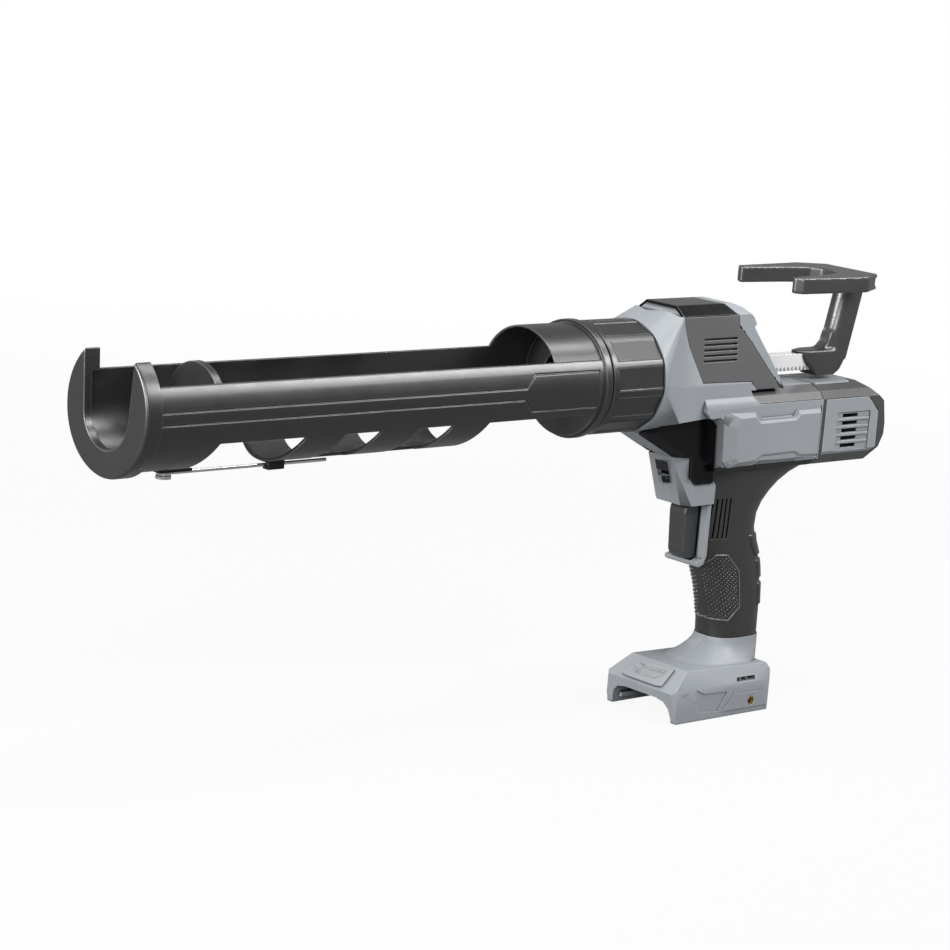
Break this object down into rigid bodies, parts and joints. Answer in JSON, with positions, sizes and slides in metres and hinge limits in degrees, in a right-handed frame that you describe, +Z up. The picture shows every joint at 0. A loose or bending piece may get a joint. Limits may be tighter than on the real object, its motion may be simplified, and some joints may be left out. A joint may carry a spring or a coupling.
{
  "type": "cordless caulking tool",
  "caption": "Pistol grip cordless caulking gun with an open rotating carriage, toothed push rod with a forked pull handle, geared motor drive and a battery foot.",
  "frame": {"origin": "on the barrel axis, at the rear face of the carriage's flange, where the cartridge's seat begins", "axes": "+X forward along the barrel axis, +Y to the tool's left side, +Z up"},
  "size_m": [0.643, 0.0794, 0.3],
  "materials": {
    "board": "lacquered",
    "brass": "turned",
    "copper_wound": "varnished",
    "dark_steel": "machined",
    "frame_charcoal": "satin",
    "gloss_black": "gloss",
    "graphite": "satin",
    "housing_grey": "satin",
    "lens": "clear",
    "rubber_black": "moulded",
    "sintered_steel": "sintered",
    "steel": "bright",
    "zinc": "cast"
  },
  "bodies": {
    "root": {"housing_left": "housing_grey", "housing_right": "housing_grey", "hump_cover_left": "graphite", "hump_cover_right": "graphite", "top_cap": "gloss_black", "throat_panel_left": "gloss_black", "throat_panel_right": "gloss_black", "motor_band_left": "graphite", "motor_band_right": "graphite", "belly_band_left": "rubber_black", "belly_band_right": "rubber_black", "rear_cap": "graphite", "vent_panel_left": "housing_grey", "vent_panel_right": "housing_grey", "top_panel": "housing_grey", "grip_rubber": "rubber_black", "rod_guide": "frame_charcoal", "gearbox_case": "zinc", "motor_can": "dark_steel", "rear_bearing": "dark_steel", "shaft_bushes": "brass", "switch_module": "frame_charcoal", "control_board": "board", "light_board": "board", "light_lens": "lens", "terminal_block": "frame_charcoal", "brass_inserts": "brass", "housing_screws": "steel"},
    "carriage": {"carriage_frame": "frame_charcoal", "front_yoke": "frame_charcoal", "wire_plate": "frame_charcoal", "wire_rivet": "steel", "wire_clip": "frame_charcoal"},
    "wire": {"piercing_wire": "steel"},
    "collar": {"locking_collar": "frame_charcoal"},
    "rod": {"rack_rod": "steel", "plunger_disc": "frame_charcoal", "plunger_nut": "steel", "pull_handle": "frame_charcoal", "handle_fork": "frame_charcoal", "handle_screws": "steel"},
    "pinion": {"rack_pinion": "dark_steel"},
    "wheel": {"drive_wheel": "sintered_steel"},
    "crown": {"crown_shaft": "dark_steel"},
    "output": {"output_shaft": "dark_steel"},
    "rotor": {"motor_rotor": "copper_wound"},
    "trigger": {"trigger": "frame_charcoal"},
    "slide": {"lock_slide": "frame_charcoal"}
  },
  "joints": [
    {"name": "carriage_spin", "type": "hinge", "parent": "root", "child": "carriage", "pos_m": [0, 0, 0], "axis": [1, 0, 0], "continuous": true},
    {"name": "wire_swing", "type": "hinge", "parent": "carriage", "child": "wire", "pos_m": [0.32, 0, -0.0398], "axis": [0, 0, 1], "range_deg": [0, 150]},
    {"name": "collar_turn", "type": "hinge", "parent": "root", "child": "collar", "pos_m": [-0.02, 0, 0], "axis": [1, 0, 0], "range_deg": [0, 60]},
    {"name": "rod_slide", "type": "slide", "parent": "root", "child": "rod", "axis": [1, 0, 0], "range_m": [-0.28, 0.044]},
    {"name": "pinion_spin", "type": "hinge", "parent": "root", "child": "pinion", "pos_m": [-0.092, 0, -0.012], "axis": [0, 1, 0], "range_deg": [-1840, 300]},
    {"name": "wheel_spin", "type": "hinge", "parent": "root", "child": "wheel", "pos_m": [-0.092, 0.011, -0.012], "axis": [0, 1, 0], "continuous": true},
    {"name": "crown_spin", "type": "hinge", "parent": "root", "child": "crown", "pos_m": [-0.092, 0, -0.0395], "axis": [0, 1, 0], "continuous": true},
    {"name": "output_spin", "type": "hinge", "parent": "root", "child": "output", "pos_m": [-0.12, 0, -0.0395], "axis": [1, 0, 0], "continuous": true},
    {"name": "rotor_spin", "type": "hinge", "parent": "root", "child": "rotor", "pos_m": [-0.2, 0, -0.0395], "axis": [1, 0, 0], "continuous": true},
    {"name": "trigger_slide", "type": "slide", "parent": "root", "child": "trigger", "axis": [-1, 0, 0], "range_m": [0, 0.007], "stiffness_N_per_m": 900, "springref_m": -0.004},
    {"name": "lock_slide_travel", "type": "slide", "parent": "root", "child": "slide", "axis": [-0.3746, 0, -0.9272], "range_m": [0, 0.005]}
  ],
  "couplings": [
    {"joint": "pinion_spin", "follows": "rod_slide", "rad_per_m": 114.29},
    {"joint": "output_spin", "follows": "rotor_spin", "ratio": 0.0625},
    {"joint": "crown_spin", "follows": "rotor_spin", "ratio": -0.029762},
    {"joint": "wheel_spin", "follows": "rotor_spin", "ratio": 0.017007}
  ]
}
